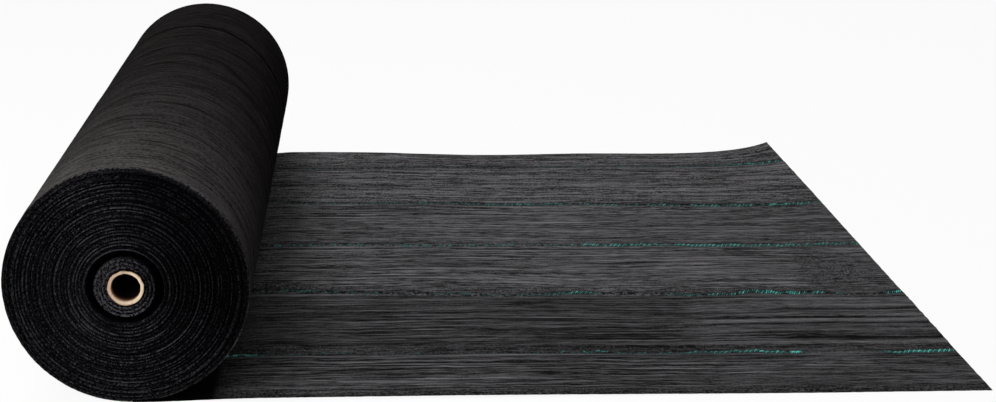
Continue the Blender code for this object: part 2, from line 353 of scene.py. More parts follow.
def laid_cloth_material():
    """The laid length: streaks of slack tape, pebbly bands beside the markers and along the edge, painted
    shadow under and beside the roll and round the markers, and painted shade along the near strip.
    """
    tree = ShaderTree(bpy.data.materials.new("laid cloth"))
    dark, light = colours().cloth_dark, colours().cloth_light
    place, x, y, z = tree.place()
    warp = tree.noise(place, (15, 22, 15), detail=1) - 0.5
    slide = tree.noise(place, (1, 60, 1), detail=1) - 0.5
    bent = tree.joined(x + 0.3 * slide, y + 0.008 * warp, z)
    long_streaks = tree.noise(bent, (1.3, 165, 1.3), detail=3, roughness=0.6)
    fine_streaks = tree.noise(bent, (6, 280, 6), detail=3, roughness=0.6)
    splits = tree.noise(bent, (5, 85, 5), detail=3, roughness=0.6)
    dashes = tree.noise(bent, (58, 300, 58), detail=3, roughness=0.65)
    patches = tree.noise(place, (6, 12, 6))
    clusters = tree.noise(place, (7, 24, 7), detail=1).between(0.40, 0.60)
    pebble = tree.noise(place, (380, 230, 380), detail=3, roughness=0.75)
    knots = tree.noise(place, (250, 190, 250), detail=1)
    grain = tree.noise(place, (500, 420, 500), detail=1)
    weave = (x * WEAVE_ALONG).sine() * (y * WEAVE_ALONG).sine()
    seam, edge, pit, shadow, ridge, fold = (
        tree.mark(name) for name in ("seam", "selvedge", "pit", "shadow", "ridge", "fold"))
    by_roll = 1 - x.between(0.10, 0.165)
    near_strip = 1 - y.between(-0.19, -0.165)
    far_strip = y.between(0.16, 0.24)
    edge_side = (-y).between(0.36, 0.39)
    mid_side = x.between(0.15, 0.40)
    rib_side = x.between(0.60, 0.66)
    calm = 1 - 0.5 * near_strip * rib_side
    light_lines = fine_streaks.between(0.54, 0.68) * (0.30 + 0.70 * clusters)
    dark_lines = (1 - long_streaks).between(0.52, 0.66) * (0.50 + 0.50 * clusters)
    cracks = (1 - abs(splits - 0.5) * 16).clamped() * (1 - clusters * 0.75)
    streak_tone = 0.49 + (2.9 + 1.0 * near_strip) * calm * (fine_streaks - 0.5) + 0.85 * light_lines
    streak_tone = streak_tone + (1.6 + 1.4 * near_strip) * calm * (long_streaks - 0.5)
    streak_tone = streak_tone * (1 - (0.55 + 0.25 * near_strip) * calm * dark_lines) * (1 - 0.70 * cracks)
    pebble_tone = 0.35 + 4.2 * (pebble - 0.5)
    rough = (seam + edge + patches.between(0.56, 0.66) * 0.30 + 0.6 * by_roll).clamped()
    tone = streak_tone * (1 - rough) + pebble_tone * rough
    tone = tone + 0.3 * (patches - 0.5) + (0.7 + 1.8 * far_strip) * (grain - 0.5) + 0.85 * fold
    tone = tone + far_strip * (0.07 + 1.6 * (splits - 0.5)) + (2.7 + 0.7 * far_strip) * (dashes - 0.5)
    tone = tone * (1 - 0.20 * seam) * (1 - 0.30 * edge)
    # Painted shade: the near strip is darker, as the light falls off towards the near edge, by an amount that
    # changes along it
    depth = 0.51 + 0.07 * mid_side - 0.20 * rib_side
    depth = depth - edge_side * (0.05 + 0.08 * mid_side - 0.08 * rib_side)
    tone = tone * (1 - near_strip * depth)
    tone = (tone + 0.45 * ridge.clamped()) * (1 - 0.9 * (-ridge).clamped())
    # Painted shadow of the roll: the cloth darkens towards it, with painted light beside it that narrows the
    # shadow
    painted_light_beside_roll = x.between(0.088, 0.120) * (1 - x.between(0.17, 0.27))
    shade = 0.01 + 0.46 * x.between(0.084, 0.093) + 0.53 * x.between(0.088, 0.150)
    tone = tone * (shade + painted_light_beside_roll * (0.22 + 0.26 * y.between(0.30, 0.40)))
    knot_tone = knots.between(0.48, 0.56) * (0.80 - 0.45 * y.between(0.35, 0.42))
    tone = tone.between(0, 1.3) * (1 - pit) + knot_tone * pit
    tone = tone * (1 - 0.95 * shadow * (0.4 + 1.2 * (1 - knots)).clamped())
    # Painted shade: the cloth under the roll is near black
    colour = tree.blend(x.between(0.083, 0.090), Vector(dark) * 0.1, tree.blend(tone, dark, light))
    relief = 1.2 * long_streaks + fine_streaks + pebble * rough + 0.15 * weave + 0.3 * grain
    return tree.surface(colour, roughness=0.88, specular=0.01, Height=relief, Distance=0.0012, Strength=0.9)


def board_material():
    """Raw kraft board: plies in the cut rim, fibres and a helical joint along the wall, with painted shade
    inside the bore and on the core's outside under the laps.
    """
    tree = ShaderTree(bpy.data.materials.new("core board"))
    tints = colours()
    pale = Vector(tints.board)
    bore_edge = CORE_RADIUS - sizes().board_wall + 0.0001
    ply_pitch = 0.0008
    helix_turns = 16
    place, x, y, z = tree.place()
    up = z - AXIS_HEIGHT
    radius = x.hypotenuse(up)
    fibres = tree.noise(place, (520, 160, 520), detail=4, roughness=0.7)
    blotches = tree.noise(place, (70, 25, 70))
    plies = (radius * (FULL_TURN / ply_pitch)).sine()
    joint = (up.angle_over(x) + y * (FULL_TURN * helix_turns / 2)).sine().between(0.985, 1.0)
    colour = tree.blend(fibres * 2.4 + blotches * 0.8 - 0.6, tints.board_fibre, pale)
    colour = tree.blend(x.between(-CORE_RADIUS, CORE_RADIUS * 0.6), tints.board_left, colour)
    colour = tree.blend((plies * 0.5 + 0.5) * 0.05, colour, pale * 0.5)
    colour = tree.blend(joint * 0.5, colour, pale * 0.35)
    colour = tree.blend(tree.mark("torn") * 0.35, colour, tints.board_torn)
    inside = 1 - radius.between(bore_edge, bore_edge + 0.0006)
    depth = CORE_HALF_LENGTH - abs(y)
    # Painted shade in the bore, darker further in, and on the core's outside just behind its end
    colour = tree.blend(depth.between(0.0006, 0.008) * inside, colour, tints.bore_mouth_shade)
    colour = tree.blend(depth.between(0.004, 0.014) * inside, colour, tints.bore_deep_shade)
    colour = tree.blend(depth.between(0.0018, 0.0032) * (1 - inside), colour, tints.board_under_laps_shade)
    relief = fibres + 0.15 * plies - joint
    return tree.surface(colour, roughness=0.95, specular=0.05, Height=relief, Distance=0.0004, Strength=0.7)


def tape_material():
    """Thin packing tape on the core, under the first lap, painted darker in the hollows of its ripples and
    lighter on their crests, as shade and light.
    """
    tree = ShaderTree(bpy.data.materials.new("tape film"))
    ripple = tree.noise(tree.place()[0], (60, 220, 60))
    # Painted shade in the ripples' hollows and painted light on their crests
    colour = tree.blend(ripple, colours().tape_dark, colours().tape_light)
    return tree.surface(colour, roughness=0.35, specular=0.5, Height=ripple, Distance=0.0002, Strength=0.5)


def yarn_material():
    """Green marker yarn, darker where the black tapes cross it, with painted shade where a strand turns down
    under the cloth.
    """
    tree = ShaderTree(bpy.data.materials.new("marker yarn"))
    twist = tree.noise(tree.place()[0], (260, 900, 900))
    amount = tree.mark("clear") ** 1.35 * (0.45 + 0.55 * twist.between(0.3, 0.65))
    colour = tree.blend(amount, colours().yarn_dim, colours().yarn)
    return tree.surface(colour, roughness=0.6, specular=0.1, Height=twist, Distance=0.0004, Strength=0.7)


# Points, noise and meshes

def ease(share):
    """A smooth rise from 0 to 1 as the share goes from 0 to 1."""
    share = np.clip(share, 0, 1)
    return share * share * (3 - 2 * share)


def bell(distance, width):
    return np.exp(-(distance / width) ** 2)


def window(value, low, high, low_fade, high_fade):
    """0 outside low and high and 1 between them, with a fade of its own length at each end."""
    return ease((value - low) / low_fade) * ease((high - value) / high_fade)


def value_noise(along, across, seed, wrap=0):
    """Smooth noise from -1 to 1 on a unit grid. Across repeats after wrap steps where wrap is set."""
    span = 512
    table = np.random.default_rng(seed).uniform(-1, 1, (span, span))
    low_along = np.floor(along).astype(int)
    low_across = np.floor(across).astype(int)
    ease_along = ease(along - low_along)
    ease_across = ease(across - low_across)
    cycle = wrap or span
    left, right = low_across % cycle % span, (low_across + 1) % cycle % span
    first, second = (table[row, left] * (1 - ease_across) + table[row, right] * ease_across
                     for row in (low_along % span, (low_along + 1) % span))
    return first * (1 - ease_along) + second * ease_along


def line_noise(along, seed):
    """Smooth noise that changes one way only."""
    return value_noise(along, along * 0, seed)


def round_the_axis(radius, angle, y):
    """Points at a radius and an angle from the core's axis."""
    return np.stack(np.broadcast_arrays(radius * np.cos(angle), y, AXIS_HEIGHT + radius * np.sin(angle)), -1)


def add_object(name, data):
    made = bpy.data.objects.new(name, data)
    bpy.context.scene.collection.objects.link(made)
    return made


def lattice_piece(name, lattices, material, closed=False):
    """A mesh on lattices of closed loops of points, each lattice closed to a ring or else capped."""
    sharp_angle = math.radians(50)
    faces = []
    start = 0
    for points in lattices:
        rows, columns, _ = points.shape
        index = start + np.arange(rows * columns).reshape(rows, columns)
        start += rows * columns
        caps = [] if closed else [index[0, ::-1].tolist(), index[-1].tolist()]
        if closed:
            index = np.vstack([index, index[:1]])
        index = np.hstack([index, index[:, :1]])
        quads = np.stack([index[:-1, :-1], index[:-1, 1:], index[1:, 1:], index[1:, :-1]], -1)
        faces += quads.reshape(-1, 4).tolist() + caps
    mesh = bpy.data.meshes.new(name)
    mesh.from_pydata(np.concatenate([points.reshape(-1, 3) for points in lattices]).tolist(), [], faces)
    mesh.update()
    mesh.shade_smooth()
    mesh.set_sharp_from_angle(angle=sharp_angle)
    mesh.materials.append(material)
    return add_object(name, mesh)


def add_mark(piece, name, values):
    """Store a value at each point of the mesh, for its material."""
    layer = piece.data.attributes.new(name, "FLOAT", "POINT")
    layer.data.foreach_set("value", np.ascontiguousarray(values, dtype=np.float32).ravel())


def take_over(piece, body, node):
    """The piece moves with a body of the frame, in place of one of its nodes."""
    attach(piece, body)
    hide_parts(node)


# The winding, whose places are counted in laps outwards along the cloth

class SpiralOfCloth:
    """Inner and outer radius of the cloth all along its spiral, from the core to the last lap."""

    crossing_laps = 0.2
    steps_a_lap = 180

    def __init__(self):
        size = sizes()
        self.gap = size.lap_pitch / 6
        self.thin = size.cloth_thickness
        self.start_radius = CORE_RADIUS + self.gap * 4
        self.bunch_radius = size.bunch_radius
        self.ring_radius = size.ring_radius
        bunch_laps = round((self.bunch_radius - self.start_radius) / size.lap_pitch)
        main_laps = round((WINDING_RADIUS - self.ring_radius) / size.lap_pitch)
        self.bunch_pitch = (self.bunch_radius - self.start_radius + self.gap) / bunch_laps
        self.main_pitch = (WINDING_RADIUS - self.ring_radius + self.gap) / main_laps
        self.first = (self.thin + self.gap) / self.bunch_pitch - 1
        self.bunch_end = (self.bunch_radius - self.start_radius - self.thin) / self.bunch_pitch
        self.main_start = self.bunch_end + self.crossing_laps
        main_depth = WINDING_RADIUS - 2 * self.thin - self.ring_radius - self.gap
        self.last = self.main_start + 1 + main_depth / self.main_pitch

    def laps(self):
        steps = math.floor((self.last - self.first) * self.steps_a_lap)
        return self.last - np.arange(steps, -1, -1) / self.steps_a_lap

    def angle(self, laps):
        return DOWN + WEB_END_ANGLE + FULL_TURN * (laps - self.last)

    def sides(self, laps):
        """The cloth's inner and outer radius at places along it."""
        bunch_wall = self.start_radius + self.bunch_pitch * laps
        main_wall = self.ring_radius + self.thin + self.gap + self.main_pitch * (laps - self.main_start - 1)
        low = self.bunch_radius - self.thin
        crossing = low + ease((laps - self.bunch_end) / self.crossing_laps) * (self.ring_radius - low)
        zones = [laps <= self.bunch_end, laps >= self.main_start]
        inner = [np.maximum(self.start_radius, bunch_wall), np.maximum(self.ring_radius, main_wall)]
        outer = [np.minimum(self.bunch_radius, bunch_wall + self.bunch_pitch - self.gap),
                 np.minimum(WINDING_RADIUS, main_wall + self.main_pitch - self.gap)]
        return (self.sag(np.select(zones, inner, crossing), laps),
                self.sag(np.select(zones, outer, crossing + self.thin), laps))

    def sag(self, radius, laps):
        """The bunch and the ring of air sit a little to one side of the core, and lower."""
        bunch_share = np.clip((radius - self.start_radius) / (self.bunch_radius - self.start_radius), 0, 1)
        main_share = np.clip((WINDING_RADIUS - radius) / (WINDING_RADIUS - self.ring_radius), 0, 1)
        angle = self.angle(laps)
        return radius - bunch_share * main_share * (SAG_ACROSS * np.cos(angle) + SAG_DOWN * np.sin(angle))

    def rings(self, laps, seed):
        """0 in the middle of a ring's groove, 1 on the rim between two rings, every few laps."""
        angle = self.angle(laps)
        laps_a_ring = 3.7
        phase = laps / laps_a_ring + 0.45 * line_noise(laps / 6.0, seed)
        for depth, laps_each, round_each, more in ((0.14, 5, 1.1, 1), (0.07, 3, 6, 8), (0.05, 1.5, 23, 9)):
            phase = phase + depth * value_noise(laps / laps_each, angle * round_each, seed + more)
        return 1 - np.abs(np.mod(phase, 1) - 0.5) * 2

    def setback(self, laps, seed):
        """How far the cloth's edge sits back from the roll's end, in grooves every few laps."""
        least, in_crossing, margin = 0.0016, 0.02, 0.05
        angle = self.angle(laps)
        groove = sizes().groove_depth * (1 - self.rings(laps, seed)) ** 0.7
        groove = groove * (0.45 + 0.55 * np.abs(value_noise(laps / 3.0, angle * 0.5, seed + 2)))
        groove = groove * np.where(laps < self.main_start, 0.3, np.clip((laps - self.main_start) / 5, 0.2, 1))
        swell = 0.0008 * value_noise(laps / 9.0, angle * 0.9, seed + 3)
        frizz = 0.0005 * value_noise(laps * 3.1, laps * 61.0, seed + 4)
        crossing = (laps > self.bunch_end - margin) & (laps < self.main_start + margin)
        return np.where(crossing, in_crossing, least + groove + swell + frizz)

    def swell(self, laps, seed):
        """0 in the grooves and 1 on the rims of the roll's end."""
        return ease(self.rings(laps, seed) / 0.8)

    def rim(self, laps, seed):
        """How pale the cloth's edge is: a line on each rim, clearer round the ring of air."""
        angle = self.angle(laps)
        line = np.clip((self.rings(laps, seed) - 0.52) / 0.42, 0, 1)
        near_ring = bell(laps - self.main_start - 3, 12)
        strength = 0.72 + 0.20 * near_ring + 0.30 * value_noise(laps / 4.0, angle * 0.8, seed + 5)
        return line * np.clip(strength, 0, 1)


class WEEDROLL_OT_winding(Operator):
    """Wind the cloth on the core in one unbroken spiral, with grooved ends"""
    bl_idname = "weedroll.winding"
    bl_label = "Winding"

    def execute(self, context):
        near_seed, far_seed = 11, 57
        spiral = SpiralOfCloth()
        laps = spiral.laps()
        inner, outer = spiral.sides(laps)
        middle = (inner + outer) / 2
        near = -HALF_WIDTH + spiral.setback(laps, near_seed)
        far = HALF_WIDTH - spiral.setback(laps, far_seed)
        crown = (outer - inner) * 0.45
        loop = [(inner, near + crown), (middle, near), (outer, near + crown),
                (outer, far - crown), (middle, far), (inner, far - crown)]
        points = np.stack([round_the_axis(radius, spiral.angle(laps), y) for radius, y in loop], 1)
        winding = lattice_piece("wound_cloth", [points], lap_end_material())
        for name, values_at in (("rim", spiral.rim), ("swell", spiral.swell)):
            ends = [values_at(laps, near_seed)] * 3 + [values_at(laps, far_seed)] * 3
            add_mark(winding, name, np.stack(ends, 1))
        take_over(winding, "roll", "fabric_winding")
        return {"FINISHED"}


# The core

# How far the saw and wear took the near rim's outside back: place round it in degrees, and millimetres
RIM_WEAR = (
    (-180, 0.0), (-155, 0.5), (-132, 0.7), (-105, 0.0), (-70, 0.5), (-48, 0.4), (-30, 0.6), (-12, 0.5),
    (0, 0.7), (10, 0.0), (22, 0.9), (35, 0.3), (50, 0.6), (65, 0.8), (80, 1.4), (97, 0.9), (104, 0.7),
    (117, 1.3), (133, 0.4), (150, 0.2), (168, 0.5), (180, 0.0),
)


def core_profile(outer, inner):
    """Half of the core's outline: radius, depth in from the end, how ragged it is and how worn."""
    wall = outer - inner
    depths = (0.0025, 0.008, 0.02, 0.05, 0.12)
    worn_shares = (1, 0.9, 0.4, 0, 0)
    outside = [(outer, depth, 0, worn) for depth, worn in zip(depths, worn_shares)]
    rim = [(outer, 0.0006, 0.5, 1), (outer - wall * 0.12, 0.0002, 1, 1), (outer - wall * 0.5, 0, 1, 1),
           (inner + wall * 0.12, 0.0002, 1, 0), (inner, 0.0007, 0.6, 0)]
    bore = [(inner, depth, 0, 0) for depth in depths]
    return outside[::-1] + rim + bore


class WEEDROLL_OT_core(Operator):
    """Make the cardboard core, with ragged sawn ends"""
    bl_idname = "weedroll.core"
    bl_label = "Cardboard core"

    def execute(self, context):
        outer = CORE_RADIUS
        wall = sizes().board_wall
        inner = outer - wall
        steps = 144
        angle = np.arange(steps) * FULL_TURN / steps
        turned = np.degrees(np.arctan2(np.sin(angle), np.cos(angle)))
        wear = np.interp(turned, *zip(*RIM_WEAR)) * MILLIMETRE
        half = core_profile(outer, inner)
        columns = []
        torn = []
        for side, seed in ((-1, 3), (1, 4)):
            for radius, depth, ragged, worn in half if side < 0 else half[::-1]:
                chips = np.abs(value_noise(radius * 900, angle / FULL_TURN * 48, seed, wrap=48))
                wobble = np.abs(value_noise(0, angle / FULL_TURN * 31, seed + 5, wrap=31))
                back = depth + ragged * (0.0010 * chips + 0.0002)
                if radius < outer - wall / 2:
                    ring = radius + ragged * 0.0007 * wobble
                elif side < 0:
                    ring = np.minimum(radius, outer - (wear * worn + 0.0003 * wobble * ragged))
                else:
                    ring = radius - ragged * 0.0015 * wobble
                columns.append(round_the_axis(ring, angle, side * (CORE_HALF_LENGTH - back)))
                torn.append(np.full(steps, 1 if ragged and radius > outer - wall * 0.2 else 0))
        core = lattice_piece("board_core", [np.stack(columns, 1)], board_material(), closed=True)
        add_mark(core, "torn", np.stack(torn, 1))
        take_over(core, "roll", "core_tube")
        return {"FINISHED"}


class WEEDROLL_OT_tape(Operator):
    """Give the strip of tape on the core its finish"""
    bl_idname = "weedroll.tape"
    bl_label = "Core tape"

    def execute(self, context):
        tape = frame["nodes"]["core_tape"]
        tape.data.materials.clear()
        tape.data.materials.append(tape_material())
        return {"FINISHED"}


# The last lap

# Drawn creases of the last lap: place along the roll in metres, middle and reach round it in
# degrees, slant in millimetres a radian, and strength
CREASES = (
    (-0.140, 103, 9, 8, 1.0), (0.095, 84, 22, 0, 0.8), (0.035, 95, 24, 30, 0.8), (-0.275, 100, 16, 40, 0.7),
    (-0.296, 82, 9, 5, 1.0), (-0.380, 79, 7, -20, 0.9), (-0.193, 74, 24, -12, 0.7), (0.030, 38, 22, -35, 0.9),
    (-0.077, 74, 14, -15, 0.7), (0.230, 94, 9, 5, 0.7), (0.120, 66, 11, -8, 0.7), (-0.262, 93, 10, 30, 0.8),
    (-0.340, 110, 12, 25, 0.6), (0.180, 60, 16, -10, 0.7), (-0.060, 40, 14, -20, 0.7),
    (0.380, 80, 20, 0, 0.5), (0.085, 57, 12, 90, 0.9), (0.066, 44, 14, 30, 0.8), (-0.160, 50, 14, -20, 0.6),
    (0.010, 125, 10, 10, 0.6), (-0.240, 60, 12, -20, 0.6), (0.150, 110, 14, 10, 0.5),
)

# The deep crease towards the roll's far end: its place along the roll
FAR_CREASE = 0.296


def crease_map(angle, y):
    """How deep the last lap is creased at each angle and place along the roll; below 0 is a lip."""
    angle = angle + FULL_TURN
    draw = np.random.default_rng(21)
    total = np.zeros(np.broadcast(angle, y).shape)
    for place, middle, reach, slant, strength in CREASES:
        turn = angle - math.radians(middle)
        line = place + 0.0015 * line_noise(angle * 5, middle) + slant * MILLIMETRE * turn
        width = 0.0028 + 0.0035 * (place + HALF_WIDTH)
        total = np.maximum(total, strength * bell(turn, math.radians(reach)) * bell(y - line, width))
    for _ in range(sizes().crease_count):
        place = draw.uniform(-HALF_WIDTH * 0.9, HALF_WIDTH * 0.95)
        turn = angle - draw.uniform(math.radians(-20), math.radians(190))
        reach = draw.uniform(0.1, 0.7)
        width = draw.uniform(0.0018, 0.0030)
        strength = draw.uniform(0.2, 0.7)
        line = place + 0.005 * line_noise(angle * 1.4, int(draw.integers(1000)))
        total = np.maximum(total, strength * bell(turn, reach) * bell(y - line, width))
    wave = 0.004 * line_noise(angle * 1.6, 77) + 0.0015 * line_noise(angle * 7, 76)
    gaps = 0.75 + 0.25 * line_noise(angle * 5, 78)
    from_far = y - FAR_CREASE - wave
    lip = 0.4 * bell(from_far + 0.0150, 0.0070)
    return np.maximum(total, 1.5 * gaps * bell(from_far, 0.0060)) - lip


class WEEDROLL_OT_last_lap(Operator):
    """Close the last lap round the winding, with creases and a soft edge"""
    bl_idname = "weedroll.last_lap"
    bl_label = "Last lap"

    def execute(self, context):
        thickness = sizes().cloth_thickness
        steps_round, steps_along, lining_steps = 210, 520, 12
        edge_inset, lining_inset = 0.0015, 0.002
        overlap, end_fade = 0.006, 0.2
        angle = (DOWN + overlap - np.linspace(0, LAST_LAP_SWEEP + overlap, steps_round))[:, None]
        share = np.linspace(0, 1, steps_along)[None, :]
        fray = np.abs(0.0005 * line_noise(angle * 40, 5) + 0.0009 * line_noise(angle * 3, 6))
        y = -HALF_WIDTH + edge_inset + fray + share * 2 * (HALF_WIDTH - edge_inset - fray)
        crease = crease_map(angle, y)
        undulation = 0.0005 * value_noise(y * 14, angle * 1.1, 31)
        pile = 0.00012 * value_noise(y * 400, angle * 46, 32)
        settle = window(angle, DOWN - LAST_LAP_SWEEP, DOWN, end_fade, end_fade)
        sink = np.maximum(crease, 0) * sizes().crease_depth + np.abs(undulation) + np.abs(pile)
        top = ROLL_RADIUS - settle * np.minimum(sink, thickness + WRAP_PLAY)
        lining_share = np.linspace(1, 0, lining_steps)[None, :]
        lining_y = -HALF_WIDTH + lining_inset + lining_share * 2 * (HALF_WIDTH - lining_inset)
        lining = round_the_axis(ROLL_RADIUS - thickness - WRAP_PLAY, angle, lining_y)
        points = np.concatenate([round_the_axis(top, angle, y), lining], 1)
        lap = lattice_piece("last_lap", [points], last_lap_material())
        add_mark(lap, "crease", np.concatenate([crease, np.zeros((steps_round, lining_steps))], 1))
        take_over(lap, "outer_wrap", "outer_wrap")
        return {"FINISHED"}


# The laid length and its marker yarns

LAID_START = 0.001
LAID_LENGTH = LAID_REACH - LAID_START
LAID_STEPS = 259

# The tongue of the cloth under the roll keeps its shape and travels with the last lap
TONGUE_STEPS = 16
TONGUE_REACH = LAID_START + LAID_LENGTH * TONGUE_STEPS / LAID_STEPS

# The slack beside the roll: its height, its reach and the length over which it falls off, at each edge
NEAR_SLACK = (0.0030, 0.30, 0.50)
FAR_SLACK = (0.0080, 0.10, 0.40)

# How the cloth rises from under the roll, how high its far edge lies, and its ripples
RISE_LENGTH = 0.14
FAR_EDGE_HEIGHT = 0.004
RIPPLE_HEIGHT = 0.0006
RIPPLE_PITCH = 0.31

# The curled far corner, and how far the curl draws it in
CURL_LENGTH = 0.25
CURL_WIDTH = 0.30
CURL_DRAW = 0.018

# Each marker yarn, from the near edge: its share of the cloth's width, its sideways bends in
# millimetres and how clearly it shows, both at shares of the laid length, how rough the cloth is
# beside it, how knotted over it, how dark its painted shadow is, how many millimetres aside a
# ridge runs, and the share of the stitch width that its stitches have
Marker = namedtuple("Marker", "share bends clearness rough knotted dark ridge_aside stitch_share")
MARKERS = [Marker(*row) for row in (
    (0.123, ((0, -5), (0.12, -3), (0.16, -6), (0.19, -5), (0.22, 4), (0.26, -2), (0.31, -3), (0.50, -3),
             (0.56, 0), (0.60, -6), (0.67, -4), (0.72, -2), (0.75, -2), (0.79, -7), (0.94, -8), (1, -5)),
     ((0, 0.6), (0.12, 0.5), (0.16, 0.2), (0.22, 0.2), (0.27, 0.08), (0.45, 0.08), (0.49, 0.25), (0.53, 0.4),
      (0.57, 0.4), (0.60, 0.2), (0.64, 0.3), (0.68, 0.5), (0.74, 0.6), (0.80, 0.95), (0.815, 0),
      (0.875, 0), (0.90, 0.3), (0.93, 0.85), (0.95, 1), (1, 1)), 0.9, 0.2, 0.8, -9, 0.72),
    (0.323, ((0, 14), (0.15, 14), (0.19, 10), (0.23, 7), (0.27, 3), (0.34, -1), (0.47, -10), (0.51, -4),
             (0.55, 1), (0.61, 0), (0.68, -2), (0.71, -10), (0.76, -10), (0.80, 2), (0.84, -4), (0.88, -2),
             (0.92, -9), (0.96, -9), (1, -4)),
     ((0, 0.3), (0.28, 0.32), (0.31, 0.15), (0.44, 0.15), (0.48, 0.3), (0.53, 0.4), (0.55, 0.8), (0.575, 0.7),
      (0.585, 0.1), (0.65, 0.1), (0.68, 0.3), (0.71, 0.6), (0.76, 0.7), (0.82, 1), (0.86, 1), (0.89, 0.6),
      (0.91, 0.35), (0.94, 0.2), (0.965, 0.3), (0.98, 0.8), (1, 0.9)), 1.0, 1.0, 1.8, -4, 1.15),
    (0.519, ((0, 0), (0.18, -1), (0.22, 2), (0.27, -2), (0.36, -5), (0.44, -3), (0.49, 4), (0.53, 5),
             (0.58, 3), (0.67, 1), (0.71, 1), (0.76, -6), (0.80, -6), (0.85, -3), (0.89, -5),
             (0.94, -2), (1, 0)),
     ((0, 0.5), (0.30, 0.45), (0.34, 0.45), (0.38, 0.3), (0.52, 0.36), (0.56, 0.42), (0.60, 0.7),
      (0.63, 0.85), (0.68, 0.75), (0.715, 0.4), (0.74, 0.7), (0.80, 0.95), (0.85, 0.8), (0.91, 0.6),
      (0.95, 0.55), (1, 0.75)), 0.35, 0.8, 0.8, -9, 1.0),
    (0.714, ((0, 18), (0.12, 18), (0.15, 5), (0.18, -1), (0.27, 0), (0.36, 0), (0.41, 4), (0.46, 1),
             (0.51, 2), (0.56, 7), (0.60, 6), (0.65, -3), (0.70, -6), (0.84, -8), (0.94, -8), (1, 4)),
     ((0, 0.15), (0.20, 0.27), (0.32, 0.31), (0.40, 0.42), (0.45, 0.5), (0.50, 0.5), (0.58, 0.5),
      (0.63, 0.42), (0.68, 0.5), (0.75, 0.65), (0.82, 0.75), (0.87, 0.8), (0.90, 0.65), (0.95, 0.8),
      (0.98, 0.4), (1, 0.2)), 0.5, 0.7, 1.6, -9, 1.0),
    (0.920, ((0, -14), (0.13, -14), (0.19, -18), (0.29, -14), (0.40, -3), (0.50, 4), (0.58, 3), (0.71, 2),
             (0.84, 2), (0.92, -1), (0.95, -3), (1, -1)),
     ((0, 0.05), (0.30, 0.2), (0.36, 0.3), (0.42, 0.15), (0.70, 0.15), (0.74, 0.35), (0.78, 0.2),
      (0.88, 0.25), (0.93, 0.6), (0.97, 0.8), (1, 0.6)), 0.6, 1.0, 1.2, -9, 0.9),
)]

# Ribs of the near strip towards the cut end: place across the cloth, height, and where each starts
RIBS = (
    (-0.1970, -0.30, 0.62), (-0.2155, 0.25, 0.70), (-0.2305, 0.35, 0.60), (-0.2400, -0.40, 0.70),
    (-0.2630, 0.45, 0.66), (-0.2685, -0.80, 0.62), (-0.2810, 0.70, 0.62), (-0.2880, -0.45, 0.64),
    (-0.3125, 0.70, 0.62), (-0.3208, -0.35, 0.66), (-0.3390, -0.65, 0.72), (-0.3520, 0.62, 0.44),
    (-0.3625, -0.30, 0.46),
)


def laid_surface(x, y):
    """Where a point of the flat cloth comes to lie: slack by the roll, ripples and a curled corner."""
    across = y / (2 * HALF_WIDTH) + 0.5
    height, reach, fall = (near + (far - near) * across for near, far in zip(NEAR_SLACK, FAR_SLACK))
    slack = height * (1 - ease((x - reach) / fall))
    wave = 1 - np.cos(FULL_TURN * (x / RIPPLE_PITCH + 0.6 * across))
    rise = ease((x - LAID_START) / RISE_LENGTH)
    ripple = RIPPLE_HEIGHT * wave * ease(across / 0.2)
    lift = rise * (slack + FAR_EDGE_HEIGHT * across ** 3 + ripple)
    along_curl = np.clip(1 - (LAID_REACH - x) / CURL_LENGTH, 0, 1)
    curl = along_curl ** 4 * np.clip(1 - (HALF_WIDTH - y) / CURL_WIDTH, 0, 1) ** 2
    lift = lift + sizes().corner_lift * curl
    return np.stack(np.broadcast_arrays(x - CURL_DRAW * curl, y, lift), -1)


def cloth_folds(x, y):
    """Folds and ribs along the cloth, and how far they stand up, at each place."""
    zone = window(y, -0.37, -0.17, 0.03, 0.03) * (0.35 + 0.65 * ease((x - 0.655) / 0.012))
    middle = window(x, 0.52, 0.84, 0.06, 0.05) * window(y, -0.16, 0.01, 0.02, 0.02)
    zone = np.maximum(zone, 0.7 * middle)
    fold = zone * (0.16 + 0.35 * value_noise(x * 1.2, y * 150 + 0.8 * value_noise(x * 6, y * 9, 46), 45))
    for place, height, start in RIBS:
        wander = 0.0012 * value_noise(x * 5, place * 1000, 47)
        fold = fold + height * ease((x - start) / 0.05) * bell(y - place - wander, 0.0036)
    return fold, zone


def marker_line(marker, x):
    """The place across the cloth of a marker yarn, at places along it."""
    places = np.array([place for place, _ in marker.bends]) * LAID_LENGTH + LAID_START
    offsets = np.array([offset for _, offset in marker.bends]) * MILLIMETRE
    low = np.clip(np.searchsorted(places, x, side="right") - 1, 0, len(places) - 2)
    part = ease((x - places[low]) / (places[low + 1] - places[low]))
    bend = offsets[low] * (1 - part) + offsets[low + 1] * part
    return (2 * marker.share - 1) * HALF_WIDTH + bend


def marker_clearness(marker, x):
    """How clearly a marker yarn shows at places along it, from 0 to 1."""
    shares, levels = zip(*marker.clearness)
    return np.interp((x - LAID_START) / LAID_LENGTH, shares, levels)


